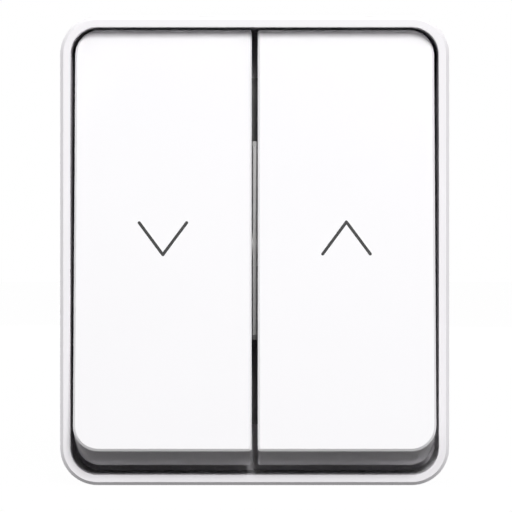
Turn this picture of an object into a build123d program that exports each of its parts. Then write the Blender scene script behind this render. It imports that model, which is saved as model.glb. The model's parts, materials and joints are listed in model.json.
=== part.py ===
# Surface-mounted weatherproof roller shutter switch with two maintained rockers.
#
# The frame: X across the wall, Y into the wall, Z up. The origin is the centre of the back face, which
# lies on the wall. Depths are given as distances in front of the wall, so a depth u lies at y = -u.
# Each rocker turns about one line along X. At rest its lower end stands out and its upper end lies in.
# Left-hand and right-hand pieces are made by one function with side -1 or +1.

from build123d import *
from math import cos, radians, sin, tan
import os

os.makedirs("parts", exist_ok=True)

# Housing
WIDTH = 76.0  # across the housing
HEIGHT = 91.5  # bottom to top
CORNER_R = 7.3  # outer corners, seen from the front
DEPTH = 50.0  # wall to the front edge of the cover frame
SPLIT_U = 30.0  # depth where the cover frame meets the box
BOX_WALL = 2.4
BOX_FLOOR = 2.5
BACK_EDGE_R = 0.6  # round on the box's back edges
SPLIT_BREAK = 0.25  # chamfers that leave a fine groove round the housing at the split
FRAME_WALL = 2.0
FRAME_BEVEL = 0.62  # slope round the frame's outer front edge
FLANGE = 1.6  # the cover frame's inner flange, the bottom of the well
FLANGE_STRIP = 3.8  # width of the flange beside the window for the insert
WINDOW_SIDE = 1.2  # insert body to the side of that window
RIM_RIB = 1.0  # locating rib behind the flange
RIM_RIB_DEPTH = 1.8
SEAL_W = 1.0  # width of both seal grooves
SEAL_LAND = 0.9  # flange between the window and the groove round it
BOX_SEAL_DEPTH = 1.0
WELL_SEAL_DEPTH = 0.9

# Rockers
ROCKER_TILT = 8.0  # degrees out of level, at rest and pressed
ROCKER_GAP = 1.2  # between the two rockers
SIDE_GAP = 0.85  # rocker to the side of the well
END_GAP = 0.36  # rocker's inner end to the end of the well
FACE_STAND = 2.5  # a level rocker's face, in front of the cover frame
FACE_T = 2.0  # thickness behind the face
RIM_W = 4.1  # pivot to the rim of the rocker's skirt
RIB_H = 2.3  # ribs between the face and the cradle
RIB_T = 1.2
RIB_INSET = 3.2  # ends of the ribs to the cradle's sides
RIB_END = 2.0  # and to its upper and lower ends
SKIRT_WALL = 1.5
END_WALL = 2.0
END_DRAFT = 7.1  # degrees, the end walls flare towards the wall
ROCKER_R = 4.9  # outer corners
ROCKER_INNER_R = 0.55  # corners beside the other rocker
ROCKER_CHAMFER = 0.4
HOOK_W = 10.0
HOOK_T = 1.6
HOOK_TAPER = 0.3
HOOK_BITE = 0.8  # how far a hook reaches behind the cradle's plate
HOOK_H = 1.6

# Bearing frame
PLATE_T = 1.4
PLATE_GAP = 1.0  # plate to the side of the well
PLATE_EDGE = 3.5  # cover screws to the plate's upper and lower edge
PLATE_R = 3.0
EDGE_RIB_T = 0.6  # low rib round the plate
EDGE_RIB_H = 0.6
BRACE_T = 1.2  # ribs above and below the windows
BRACE_H = 1.2
BRACE_GAP = 0.8
PIVOT_RISE = 2.4  # pivot in front of the plate
LUG_R = 2.9
LUG_T = 2.0  # outer lugs, along X
CENTRE_LUG_W = 5.0
LUG_CORE = 1.0  # solid middle of the centre lug
JOURNAL_R = 1.8
JOURNAL_L = 1.8  # length inside its lug
RUNNING = 0.05  # radial clearance of everything that turns or slides
SNAP_SLOT = 2.8  # mouth through which a journal snaps into its lug
LUG_EDGE = 1.5  # outer lugs to the plate's sides
WINDOW_H = 14.0
WEB_T = 0.8  # web that stands between the rockers
WEB_BREAK = 0.12  # chamfers along its front edge
WEB_SET_BACK = 2.0  # web behind the cover frame's front edge
WEB_CORNER = 1.0
WEB_TOP = 21.5
WEB_BOTTOM = -17.4
WEB_BOSS_R = 2.7
WEB_BOSS_T = 1.08
WEB_BOSS_Z = 1.4

# Cradles
SIDE_PLAY = 0.3  # cradle cheek to bearing lug
CHEEK_T = 1.8
CHEEK_R = 3.0
CHEEK_TOP = 18.0  # width of a cheek where it meets the cradle's plate
CRADLE_H = 34.0
CRADLE_T = 1.8
CRADLE_R = 1.0
LIGHTENING_W = 12.0
LIGHTENING_H = 6.0
GUSSET_T = 1.2
GUSSET_SPREAD = 3.6  # gussets beside the barrel
BARREL_OD = 6.4
BARREL_ID = 4.3
BARREL_END = -5.0  # along the rocker's own depth axis, counted from the pivot
LIP_T = 1.0
LIP_ID = 3.0

# Plungers and springs
PLUNGER_HEAD = 3.0
TIP_REACH = 8.5  # pivot to the plunger's tip
WIRE_D = 0.5
SPRING_PITCH = 1.6

# Moving contacts
STRIP_T = 0.8
STRIP_W = 5.0
STRIP_L = 20.0
STRIP_R = 1.0
TIP_GAP = 0.1  # plunger to a level moving contact
CONTACT_ARM = 8.2  # knife edge to the contact tips
TIP_R = 1.4
TIP_T = 0.5
TIP_BREAK = 0.15
CLOSED_GAP = 0.1

# Insert body and terminals
BODY_H = 42.0
BODY_DEPTH = 20.0
BODY_R = 2.0
BODY_WALL = 1.6
BAR_T = 0.8
BAR_BEND = 0.8  # bend radius at the middle of a bar's thickness
BAR_OVER = 2.0  # a bar's end beyond the middle of its tip
LINK_CLEAR = 2.0  # interlock link beside the right knife edge
CHAMBER_L = 8.4
CHAMBER_W = 6.0
TAB_PLAY = 0.1
TAB_FOOT = 1.5  # a tab's end to the floor of its chamber
WIRE_R = 1.25
WIRE_HOLE_R = 1.6
CLAMP_T = 0.4
CLAMP_BEND = 0.7
CLAMP_TOP = 1.2  # clamp spring's back, below the deck
CLAMP_REACH = 3.6  # its blade's end, below the deck
CLAMP_GAP = 0.5  # its blade's end to the tab
PUSHER_T = 1.6
PUSHER_INSET = 3.2  # pusher to the end of its chamber
PUSHER_W = 3.0
PUSHER_STAND = 1.5  # how far a release pusher stands out of the body's rear
PUSHER_SHOULDER = 0.6
LINK_W = 3.0
PARTITION_T = 1.2
GUIDE_T = 1.0  # guides beside the see-saw contacts
GUIDE_H = 2.5
GUIDE_Z = 0.7
GUIDE_STAND = 2.0  # in front of the knife edge
GUIDE_PLAY = 0.4
STOP_T = 1.6  # stop under the arm that closes nothing
STOP_GAP = 0.3
LEG_W = 8.0
LEG_T = 1.2
LEG_L = 5.2
LEG_HOOK = 0.8

# Screws
SCREW_Z = 31.0
SCREW_R = 1.5
SCREW_CLEAR_R = 1.8
SCREW_HEAD_R = 2.8
SCREW_HEAD_H = 1.8
SCREW_HEAD_ROUND = 0.7
SCREW_POINT = 0.4
CROSS_L = 2.8
CROSS_W = 0.7
CROSS_DEPTH = 1.1
SCREW_BITE = 10.0
BORE_SPARE = 2.0  # the boss is bored deeper than the screw reaches
BOSS_R = 3.5
BOSS_GAP = 1.6  # screw boss to the side wall
BOSS_GUSSET_T = 1.7

# Wall fixing and cable entries
HOLE_PITCH_X = 40.0
HOLE_PITCH_Z = 60.0
HOLE_R = 2.25
COLLAR_H = 1.5
COLLAR_WALL = 2.25
RECESS_DEPTH = 0.8
RECESS_RIM = 3.0
PAD_WALL = 3.75  # pad left round a fixing hole
ENTRY_EDGE = 2.0  # box left in front of and behind a cable entry's seat
ENTRY_LEDGE = 2.8  # seat round the entry
ENTRY_SEAT_DEPTH = 1.2
ENTRY_COLLAR_T = 1.6
ENTRY_COLLAR_WALL = 1.8
MEMBRANE_T = 0.8
MEMBRANE_NECK = 1.5
MEMBRANE_LIP = 0.8
MEMBRANE_LIP_H = 1.4
MEMBRANE_EYE_R = 3.0  # thin middle that the cable is pushed through
MEMBRANE_RING_R = 6.0  # sunk ring round it
MEMBRANE_SLOPE = 0.4
FIT = 0.1  # between pieces that are pressed or snapped together

# What follows from them
OPENING_W = WIDTH - 2 * FRAME_WALL
OPENING_H = HEIGHT - 2 * FRAME_WALL
OPENING_R = CORNER_R - FRAME_WALL
FLANGE_U = SPLIT_U + FLANGE
PLATE_FRONT = FLANGE_U + PLATE_T
PIVOT_U = PLATE_FRONT + PIVOT_RISE
TILT = radians(ROCKER_TILT)
BOX_W = WIDTH - 2 * BOX_WALL
BOX_H = HEIGHT - 2 * BOX_WALL
BOX_R = CORNER_R - BOX_WALL
SCREW_X = BOX_W / 2 - BOSS_R - BOSS_GAP
PLATE_W = OPENING_W - 2 * PLATE_GAP
PLATE_H = 2 * (SCREW_Z + PLATE_EDGE)
OUTER_LUG_X = PLATE_W / 2 - LUG_EDGE - LUG_T  # inner side of the outer lugs
WEB_FRONT_U = DEPTH - WEB_SET_BACK
BODY_W = OPENING_W - 2 * (FLANGE_STRIP + WINDOW_SIDE)
BODY_REAR_U = FLANGE_U - BODY_DEPTH
ENTRY_U = SPLIT_U / 2
ENTRY_SEAT_R = SPLIT_U / 2 - ENTRY_EDGE
ENTRY_R = ENTRY_SEAT_R - ENTRY_LEDGE
FACE_W = DEPTH + FACE_STAND - PIVOT_U  # pivot to the rocker's face
CRADLE_FRONT = FACE_W - FACE_T - RIB_H
CRADLE_W = CRADLE_FRONT - CRADLE_T  # pivot to the back of the cradle's plate
ROCKER_OUT = OPENING_W / 2 - SIDE_GAP
ROCKER_IN = ROCKER_GAP / 2
ROCKER_W = ROCKER_OUT - ROCKER_IN
ROCKER_HALF = (OPENING_H / 2 - END_GAP - FACE_W * sin(TILT)) / cos(TILT)
FLARE = tan(radians(END_DRAFT))
CHEEK_IN = CENTRE_LUG_W / 2 + SIDE_PLAY
CHEEK_OUT = OUTER_LUG_X - SIDE_PLAY
BARREL_X = (CHEEK_IN + CHEEK_OUT) / 2
CRADLE_SPAN = CHEEK_OUT - CHEEK_IN
KNIFE_U = PIVOT_U - TIP_REACH - TIP_GAP - STRIP_T
ARM_DROP = CONTACT_ARM * sin(TILT)
FIXED_TIP_U = KNIFE_U - (CONTACT_ARM + TIP_R) * sin(TILT) - TIP_T * cos(TILT) - CLOSED_GAP
DECK_U = FIXED_TIP_U - TIP_T - BAR_T
TIP_Z = CONTACT_ARM * cos(TILT)
CHAMBER_FLOOR_U = BODY_REAR_U + BODY_WALL
INNER_W = BODY_W - 2 * BODY_WALL
INNER_H = BODY_H - 2 * BODY_WALL
TAB_T = CHAMBER_L / 2 - TAB_PLAY  # outer face of a terminal's tab, from the chamber's middle
TAB_MIDDLE = TAB_T - BAR_T / 2
WIRE_T = TAB_T - BAR_T - TAB_PLAY - WIRE_R  # middle of the wire
PUSHER_MIDDLE = PUSHER_INSET - CHAMBER_L / 2
CHAMBER_DROP = CHAMBER_FLOOR_U - DECK_U  # the chamber's floor, from the deck
CHAMBER_Z = INNER_H / 2 - CHAMBER_L / 2
CHAMBER_X = INNER_W / 2 - CHAMBER_L / 2
LEG_Z = BODY_H / 2 + FIT
WINDOW_W = BODY_W + 2 * WINDOW_SIDE
WINDOW_GAP = LEG_T + LEG_HOOK + 2 * FIT  # above and below the insert body, room for the legs
INSERT_WINDOW_H = BODY_H + 2 * WINDOW_GAP


def front(u):
    """Plane for a sketch seen from the front, at depth u."""
    return Plane.XZ.offset(u)


def rocker_front(w):
    """The same, square to a rocker at rest, w in front of its pivot."""
    return Plane(origin=(0, -PIVOT_U, 0), x_dir=(1, 0, 0), z_dir=(0, -cos(TILT), sin(TILT))).offset(w)


def rocker_side(x):
    """Side view of a rocker from the left: local x runs up along its face, local y out of it."""
    return Plane(origin=(x, -PIVOT_U, 0), x_dir=(0, sin(TILT), cos(TILT)), z_dir=(1, 0, 0))


def side_view(x):
    """Side view of fixed pieces from the left: local x runs up, local y towards the front."""
    return Plane(origin=(x, 0, 0), x_dir=(0, 0, 1), z_dir=(1, 0, 0))


def rim_ring(width):
    """Ring of a given width along the middle of the box's front rim."""
    middle_w, middle_h, middle_r = WIDTH - BOX_WALL, HEIGHT - BOX_WALL, CORNER_R - BOX_WALL / 2
    RectangleRounded(middle_w + width, middle_h + width, middle_r + width / 2)
    RectangleRounded(middle_w - width, middle_h - width, middle_r - width / 2, mode=Mode.SUBTRACT)


def window_ring(inside, width):
    """Ring round the insert's window, at a given distance from it."""
    ring_w, ring_h, ring_r = WINDOW_W + 2 * inside, INSERT_WINDOW_H + 2 * inside, BODY_R + inside
    RectangleRounded(ring_w + 2 * width, ring_h + 2 * width, ring_r + width)
    RectangleRounded(ring_w, ring_h, ring_r, mode=Mode.SUBTRACT)


def finish(part, label):
    """Names a piece and writes it."""
    part.label = label
    export_step(part, f"parts/{label}.step")


# Surface box
screw_places = GridLocations(2 * SCREW_X, 2 * SCREW_Z, 2, 2)
hole_places = GridLocations(HOLE_PITCH_X, HOLE_PITCH_Z, 2, 2)

with BuildPart() as back_box:
    with BuildSketch(front(0)):
        RectangleRounded(WIDTH, HEIGHT, CORNER_R)
    extrude(amount=SPLIT_U)
    fillet(back_box.faces().sort_by(Axis.Y)[-1].edges(), BACK_EDGE_R)
    chamfer(back_box.faces().sort_by(Axis.Y)[0].edges(), SPLIT_BREAK)
    with BuildSketch(front(BOX_FLOOR)):
        RectangleRounded(BOX_W, BOX_H, BOX_R)
    extrude(amount=SPLIT_U, mode=Mode.SUBTRACT)
    # Screw bosses, each tied to the side wall by a gusset
    with BuildSketch(front(BOX_FLOOR)):
        with screw_places:
            Circle(BOSS_R)
        for side in (-1, 1):
            for row in (-1, 1):
                with Locations((side * (SCREW_X + BOX_W / 2) / 2, row * SCREW_Z)):
                    Rectangle(BOX_W / 2 - SCREW_X + FIT, BOSS_GUSSET_T)
    extrude(amount=SPLIT_U - BOX_FLOOR)
    with BuildSketch(front(SPLIT_U)):
        with screw_places:
            Circle(SCREW_R)
    extrude(amount=-SCREW_BITE - BORE_SPARE, mode=Mode.SUBTRACT)
    # The boss and gusset fronts step back where the cover frame's rib passes
    with BuildSketch(front(SPLIT_U)):
        RectangleRounded(BOX_W, BOX_H, BOX_R)
        inner_w, inner_h = BOX_W - 2 * RIM_RIB - 6 * FIT, BOX_H - 2 * RIM_RIB - 6 * FIT
        RectangleRounded(inner_w, inner_h, BOX_R - RIM_RIB, mode=Mode.SUBTRACT)
    extrude(amount=-RIM_RIB_DEPTH - FIT, mode=Mode.SUBTRACT)
    # Groove for the seal in the front rim
    with BuildSketch(front(SPLIT_U)):
        rim_ring(SEAL_W)
    extrude(amount=-BOX_SEAL_DEPTH, mode=Mode.SUBTRACT)
    # Wall fixing holes in collars
    with BuildSketch(front(BOX_FLOOR)):
        with hole_places:
            Circle(HOLE_R + COLLAR_WALL)
    extrude(amount=COLLAR_H)
    # Shallow recesses behind leave a rim, a cross and a pad round each fixing hole
    with BuildSketch(front(0)):
        with GridLocations((WIDTH - RECESS_RIM) / 2, (HEIGHT - RECESS_RIM) / 2, 2, 2):
            recess_w, recess_h = (WIDTH - 3 * RECESS_RIM) / 2, (HEIGHT - 3 * RECESS_RIM) / 2
            RectangleRounded(recess_w, recess_h, CORNER_R - RECESS_RIM)
        with hole_places:
            Circle(HOLE_R + PAD_WALL, mode=Mode.SUBTRACT)
    extrude(amount=RECESS_DEPTH, mode=Mode.SUBTRACT)
    with BuildSketch(front(0)):
        with hole_places:
            Circle(HOLE_R)
    extrude(amount=BOX_FLOOR + COLLAR_H, mode=Mode.SUBTRACT)
    # Cable entries, top and bottom, each with a collar inside and a sunk seat outside
    for end in (-1, 1):
        with BuildSketch(Plane.XY.offset(end * (HEIGHT / 2 - BOX_WALL))):
            with Locations((0, -ENTRY_U)):
                Circle(ENTRY_R + ENTRY_COLLAR_WALL)
        extrude(amount=-end * ENTRY_COLLAR_T)
        with BuildSketch(Plane.XY.offset(end * HEIGHT / 2)):
            with Locations((0, -ENTRY_U)):
                Circle(ENTRY_SEAT_R)
        extrude(amount=-end * ENTRY_SEAT_DEPTH, mode=Mode.SUBTRACT)
        with BuildSketch(Plane.XY.offset(end * HEIGHT / 2)):
            with Locations((0, -ENTRY_U)):
                Circle(ENTRY_R)
        extrude(amount=-end * (BOX_WALL + ENTRY_COLLAR_T), mode=Mode.SUBTRACT)
finish(back_box.part, "back_box")

# Rubber ring in the box rim
with BuildPart() as box_seal:
    with BuildSketch(front(SPLIT_U - BOX_SEAL_DEPTH)):
        rim_ring(SEAL_W - FIT)
    extrude(amount=BOX_SEAL_DEPTH)
finish(box_seal.part, "box_seal")

# Cable entry membranes: a flange flush with the box, a neck through the wall and a lip inside
for end, label in ((-1, "bottom_membrane"), (1, "top_membrane")):
    with BuildPart() as membrane:
        with BuildSketch(front(ENTRY_U)):
            with BuildLine():
                top = HEIGHT / 2
                seat = top - ENTRY_SEAT_DEPTH
                inside = top - BOX_WALL - ENTRY_COLLAR_T
                neck = ENTRY_R - FIT
                Polyline(
                    (0, seat + MEMBRANE_T / 2),
                    (MEMBRANE_EYE_R, seat + MEMBRANE_T / 2),
                    (MEMBRANE_EYE_R + MEMBRANE_SLOPE, top - MEMBRANE_T),
                    (MEMBRANE_RING_R, top - MEMBRANE_T),
                    (MEMBRANE_RING_R + MEMBRANE_SLOPE, top),
                    (ENTRY_SEAT_R - FIT, top),
                    (ENTRY_SEAT_R - FIT, seat),
                    (neck, seat),
                    (neck, inside),
                    (ENTRY_R + MEMBRANE_LIP, inside),
                    (neck - MEMBRANE_SLOPE, inside - MEMBRANE_LIP_H),
                    (neck - MEMBRANE_NECK, inside - MEMBRANE_LIP_H),
                    (neck - MEMBRANE_NECK, seat - MEMBRANE_T / 2),
                    (0, seat - MEMBRANE_T / 2),
                    close=True,
                )
            make_face()
        revolve(axis=Axis((0, -ENTRY_U, 0), (0, 0, 1)))
    body = membrane.part if end > 0 else membrane.part.mirror(Plane.XY)
    finish(body, label)

# Cover frame
with BuildPart() as cover_frame:
    with BuildSketch(front(SPLIT_U)):
        RectangleRounded(WIDTH, HEIGHT, CORNER_R)
    extrude(amount=DEPTH - SPLIT_U)
    chamfer(cover_frame.faces().sort_by(Axis.Y)[0].edges(), FRAME_BEVEL)
    chamfer(cover_frame.faces().sort_by(Axis.Y)[-1].edges(), SPLIT_BREAK)
    # The well
    with BuildSketch(front(FLANGE_U)):
        RectangleRounded(OPENING_W, OPENING_H, OPENING_R)
    extrude(amount=DEPTH, mode=Mode.SUBTRACT)
    # The rib that centres the frame on the box
    with BuildSketch(front(SPLIT_U)):
        rib_w, rib_h, rib_r = BOX_W - 3 * FIT, BOX_H - 3 * FIT, BOX_R - 1.5 * FIT
        RectangleRounded(rib_w, rib_h, rib_r)
        RectangleRounded(rib_w - 2 * RIM_RIB, rib_h - 2 * RIM_RIB, rib_r - RIM_RIB, mode=Mode.SUBTRACT)
    extrude(amount=-RIM_RIB_DEPTH)
    # Window for the insert body and its four legs
    with BuildSketch(front(SPLIT_U - RIM_RIB_DEPTH)):
        RectangleRounded(WINDOW_W, INSERT_WINDOW_H, BODY_R)
    extrude(amount=RIM_RIB_DEPTH + FLANGE, mode=Mode.SUBTRACT)
    with BuildSketch(front(SPLIT_U)):
        with screw_places:
            Circle(SCREW_CLEAR_R)
    extrude(amount=FLANGE, mode=Mode.SUBTRACT)
    # Groove for the well seal
    with BuildSketch(front(FLANGE_U)):
        window_ring(SEAL_LAND, SEAL_W)
    extrude(amount=-WELL_SEAL_DEPTH, mode=Mode.SUBTRACT)
finish(cover_frame.part, "cover_frame")

with BuildPart() as well_seal:
    with BuildSketch(front(FLANGE_U - WELL_SEAL_DEPTH)):
        window_ring(SEAL_LAND + FIT / 2, SEAL_W - FIT)
    extrude(amount=WELL_SEAL_DEPTH)
finish(well_seal.part, "well_seal")

# Bearing frame
with BuildPart() as bearing_frame:
    with BuildSketch(front(FLANGE_U)):
        RectangleRounded(PLATE_W, PLATE_H, PLATE_R)
        with screw_places:
            Circle(SCREW_CLEAR_R, mode=Mode.SUBTRACT)
        window_w = OUTER_LUG_X - CENTRE_LUG_W / 2
        with GridLocations(OUTER_LUG_X + CENTRE_LUG_W / 2, 0, 2, 1):
            Rectangle(window_w, WINDOW_H, mode=Mode.SUBTRACT)
    extrude(amount=PLATE_T)
    # A low rib round the plate and a brace above and below the windows
    with BuildSketch(front(PLATE_FRONT)):
        RectangleRounded(PLATE_W, PLATE_H, PLATE_R)
        inner_r = PLATE_R - EDGE_RIB_T
        RectangleRounded(PLATE_W - 2 * EDGE_RIB_T, PLATE_H - 2 * EDGE_RIB_T, inner_r, mode=Mode.SUBTRACT)
    extrude(amount=EDGE_RIB_H)
    with BuildSketch(front(PLATE_FRONT)):
        with GridLocations(0, WINDOW_H + 2 * BRACE_GAP + BRACE_T, 1, 2):
            Rectangle(2 * OUTER_LUG_X, BRACE_T)
    extrude(amount=BRACE_H)
    # Lugs: a centre one with a blind bore from each side, and two outer ones bored through
    for x, width in ((0, CENTRE_LUG_W), (-OUTER_LUG_X - LUG_T / 2, LUG_T), (OUTER_LUG_X + LUG_T / 2, LUG_T)):
        with BuildSketch(side_view(x - width / 2)):
            with Locations((0, PIVOT_U)):
                Circle(LUG_R)
            with Locations((0, (PLATE_FRONT + PIVOT_U) / 2)):
                Rectangle(2 * LUG_R, PIVOT_RISE)
        extrude(amount=width)
    for x, depth in (
        (LUG_CORE / 2, (CENTRE_LUG_W - LUG_CORE) / 2),
        (-CENTRE_LUG_W / 2, (CENTRE_LUG_W - LUG_CORE) / 2),
        (-OUTER_LUG_X - LUG_T, LUG_T),
        (OUTER_LUG_X, LUG_T),
    ):
        with BuildSketch(side_view(x)):
            with Locations((0, PIVOT_U)):
                Circle(JOURNAL_R + RUNNING)
            with Locations((0, PIVOT_U + LUG_R)):
                Rectangle(SNAP_SLOT, 2 * LUG_R)
        extrude(amount=depth, mode=Mode.SUBTRACT)
    # Web between the rockers, with a small boss
    with BuildSketch(side_view(-WEB_T / 2)):
        with BuildLine():
            Polyline(
                (WEB_BOTTOM, PLATE_FRONT),
                (WEB_BOTTOM, WEB_FRONT_U - WEB_CORNER),
                (WEB_BOTTOM + WEB_CORNER, WEB_FRONT_U),
                (WEB_TOP - WEB_CORNER, WEB_FRONT_U),
                (WEB_TOP, WEB_FRONT_U - WEB_CORNER),
                (WEB_TOP, PLATE_FRONT),
                close=True,
            )
        make_face()
    extrude(amount=WEB_T)
    chamfer(bearing_frame.edges().filter_by(Axis.Z).group_by(Axis.Y)[0], WEB_BREAK)
    with BuildSketch(side_view(-WEB_BOSS_T / 2)):
        with Locations((WEB_BOSS_Z, WEB_FRONT_U - WEB_BOSS_R)):
            Circle(WEB_BOSS_R)
    extrude(amount=WEB_BOSS_T)
    # Four legs that snap into the insert body
    for row in (-1, 1):
        for column in (-1, 1):
            with BuildSketch(side_view(column * BARREL_X - LEG_W / 2)):
                with BuildLine():
                    Polyline(
                        (row * LEG_Z, FLANGE_U),
                        (row * (LEG_Z + LEG_T), FLANGE_U),
                        (row * (LEG_Z + LEG_T), FLANGE_U - LEG_L + LEG_T),
                        (row * (LEG_Z + LEG_T / 2), FLANGE_U - LEG_L),
                        (row * LEG_Z, FLANGE_U - LEG_L),
                        (row * (LEG_Z - LEG_HOOK), FLANGE_U - LEG_L + LEG_HOOK),
                        (row * (LEG_Z - LEG_HOOK), FLANGE_U - LEG_L + 2 * LEG_HOOK),
                        (row * LEG_Z, FLANGE_U - LEG_L + 2 * LEG_HOOK),
                        close=True,
                    )
                make_face()
            extrude(amount=LEG_W)
finish(bearing_frame.part, "bearing_frame")

# Four pan-head screws with a cross recess
with BuildPart() as cover_screws:
    with BuildSketch(front(SPLIT_U - SCREW_BITE)):
        with screw_places:
            Circle(SCREW_R)
    extrude(amount=SCREW_BITE + FLANGE + PLATE_T)
    with BuildSketch(front(PLATE_FRONT)):
        with screw_places:
            Circle(SCREW_HEAD_R)
    extrude(amount=SCREW_HEAD_H)
    fillet(cover_screws.faces().group_by(Axis.Y)[0].edges(), SCREW_HEAD_ROUND)
    chamfer(cover_screws.faces().group_by(Axis.Y)[-1].edges(), SCREW_POINT)
    with BuildSketch(front(PLATE_FRONT + SCREW_HEAD_H)):
        with screw_places:
            Rectangle(CROSS_L, CROSS_W)
            Rectangle(CROSS_W, CROSS_L)
    extrude(amount=-CROSS_DEPTH, mode=Mode.SUBTRACT)
finish(cover_screws.part, "cover_screws")


def skirt_profile(grow, bottom, top):
    """Half-lengths at two depths of the rocker's flared ends, as a closed outline in its side view."""
    low = ROCKER_HALF + grow + (FACE_W - bottom) * FLARE
    high = ROCKER_HALF + grow + (FACE_W - top) * FLARE
    Polyline((-low, bottom), (low, bottom), (high, top), (-high, top), close=True)


def end_edges(block, side):
    """The four edges between a rocker's sides and its ends, the ones beside the other rocker first."""
    slanted = block.edges().filter_by(lambda e: abs(e.tangent_at(0).X) < 0.5 and e.length < 2 * FACE_W)
    return slanted.sort_by(lambda e: side * e.center().X)


def make_rocker(side, label):
    """Rocker cover: a hollow cap with flared ends that clips on its cradle by two hooks."""
    low_x = min(side * ROCKER_OUT, side * ROCKER_IN)
    with BuildPart() as hollow:
        with BuildSketch(rocker_side(low_x + SKIRT_WALL)):
            with BuildLine():
                skirt_profile(-END_WALL, RIM_W - FIT, FACE_W - FACE_T)
            make_face()
        extrude(amount=ROCKER_W - 2 * SKIRT_WALL)
        fillet(end_edges(hollow, side)[-2:], ROCKER_R - SKIRT_WALL)
    with BuildPart() as rocker:
        with BuildSketch(rocker_side(low_x)):
            with BuildLine():
                skirt_profile(0, RIM_W, FACE_W)
            make_face()
        extrude(amount=ROCKER_W)
        fillet(end_edges(rocker, side)[-2:], ROCKER_R)
        fillet(end_edges(rocker, side)[:2], ROCKER_INNER_R)
        face = rocker.faces().sort_by(lambda f: f.center().dot(rocker_front(0).z_dir))[-1]
        chamfer(face.edges(), min(ROCKER_CHAMFER, 0.75 * ROCKER_INNER_R))
        add(hollow.part, mode=Mode.SUBTRACT)
        # Ribs inside that seat on the cradle's plate
        with BuildSketch(rocker_front(CRADLE_FRONT)):
            with Locations((side * BARREL_X, 0)):
                with GridLocations(CRADLE_SPAN / 2, 0, 2, 1):
                    Rectangle(RIB_T, CRADLE_H - 2 * RIB_END)
                with GridLocations(0, (CRADLE_H + BARREL_OD) / 2, 1, 2):
                    Rectangle(CRADLE_SPAN - 2 * RIB_INSET, RIB_T)
        extrude(amount=RIB_H)
        # Hooks round the cradle's ends
        for end in (-1, 1):
            with BuildSketch(rocker_side(side * BARREL_X - HOOK_W / 2)):
                with BuildLine():
                    near = CRADLE_H / 2 + FIT
                    Polyline(
                        (end * near, FACE_W - FACE_T),
                        (end * (near + HOOK_T), FACE_W - FACE_T),
                        (end * (near + HOOK_T - HOOK_TAPER), CRADLE_W - HOOK_H),
                        (end * (near + HOOK_TAPER), CRADLE_W - HOOK_H),
                        (end * (near - HOOK_BITE), CRADLE_W - FIT),
                        (end * near, CRADLE_W - FIT),
                        close=True,
                    )
                make_face()
            extrude(amount=HOOK_W)
    finish(rocker.part, label)


def make_cradle(side, label):
    """Pivoting carrier: a plate, two cheeks with journals and a barrel for the plunger."""
    with BuildPart() as cradle:
        with BuildSketch(rocker_front(CRADLE_W)):
            with Locations((side * BARREL_X, 0)):
                RectangleRounded(CRADLE_SPAN, CRADLE_H, CRADLE_R)
                # Lightening windows midway between the barrel and the plate's ends
                with GridLocations(0, (CRADLE_H + BARREL_OD) / 2, 1, 2):
                    RectangleRounded(LIGHTENING_W, LIGHTENING_H, CRADLE_R, mode=Mode.SUBTRACT)
        extrude(amount=CRADLE_T)
        for near, far in ((CHEEK_IN, -1), (CHEEK_OUT, 1)):
            plane_x = min(side * near, side * (near - far * CHEEK_T))
            with BuildSketch(rocker_side(plane_x)):
                Circle(CHEEK_R)
                with Locations((0, CRADLE_W)):
                    Rectangle(CHEEK_TOP, RUNNING)
                make_hull()
            extrude(amount=CHEEK_T)
            # Journal, standing out of the cheek into its lug
            reach = side * (near + far * (SIDE_PLAY + JOURNAL_L))
            with BuildSketch(rocker_side(min(side * near, reach))):
                Circle(JOURNAL_R)
            extrude(amount=abs(side * near - reach))
        with BuildSketch(rocker_front(BARREL_END)):
            with Locations((side * BARREL_X, 0)):
                Circle(BARREL_OD / 2)
        extrude(amount=CRADLE_W - BARREL_END)
        # Four gussets tie the barrel to the plate
        with BuildSketch(rocker_front(CRADLE_W / 2)):
            with Locations((side * BARREL_X, 0)):
                Rectangle(BARREL_OD + 2 * GUSSET_SPREAD, GUSSET_T)
                Rectangle(GUSSET_T, BARREL_OD + 2 * GUSSET_SPREAD)
        extrude(amount=CRADLE_W / 2)
        with BuildSketch(rocker_front(BARREL_END)):
            with Locations((side * BARREL_X, 0)):
                Circle(LIP_ID / 2)
        extrude(amount=LIP_T, mode=Mode.SUBTRACT)
        with BuildSketch(rocker_front(BARREL_END + LIP_T)):
            with Locations((side * BARREL_X, 0)):
                Circle(BARREL_ID / 2)
        extrude(amount=CRADLE_W - BARREL_END - LIP_T, mode=Mode.SUBTRACT)
    finish(cradle.part, label)


def make_plunger(side, label):
    """Pin with a head that rests on the barrel's lip and a round tip."""
    stem_r = LIP_ID / 2 - RUNNING
    seat = BARREL_END + LIP_T + RUNNING
    with BuildPart() as plunger:
        with BuildSketch(rocker_side(side * BARREL_X)):
            with BuildLine():
                Line((0, -TIP_REACH), (0, seat + PLUNGER_HEAD))
                Polyline(
                    (0, seat + PLUNGER_HEAD),
                    (BARREL_ID / 2 - RUNNING, seat + PLUNGER_HEAD),
                    (BARREL_ID / 2 - RUNNING, seat),
                    (stem_r, seat),
                    (stem_r, -TIP_REACH + stem_r),
                )
                CenterArc((0, -TIP_REACH + stem_r), stem_r, -90, 90)
            make_face()
        pivot_line = rocker_front(0)
        revolve(axis=Axis((side * BARREL_X, -PIVOT_U, 0), pivot_line.z_dir))
    finish(plunger.part, label)


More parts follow.
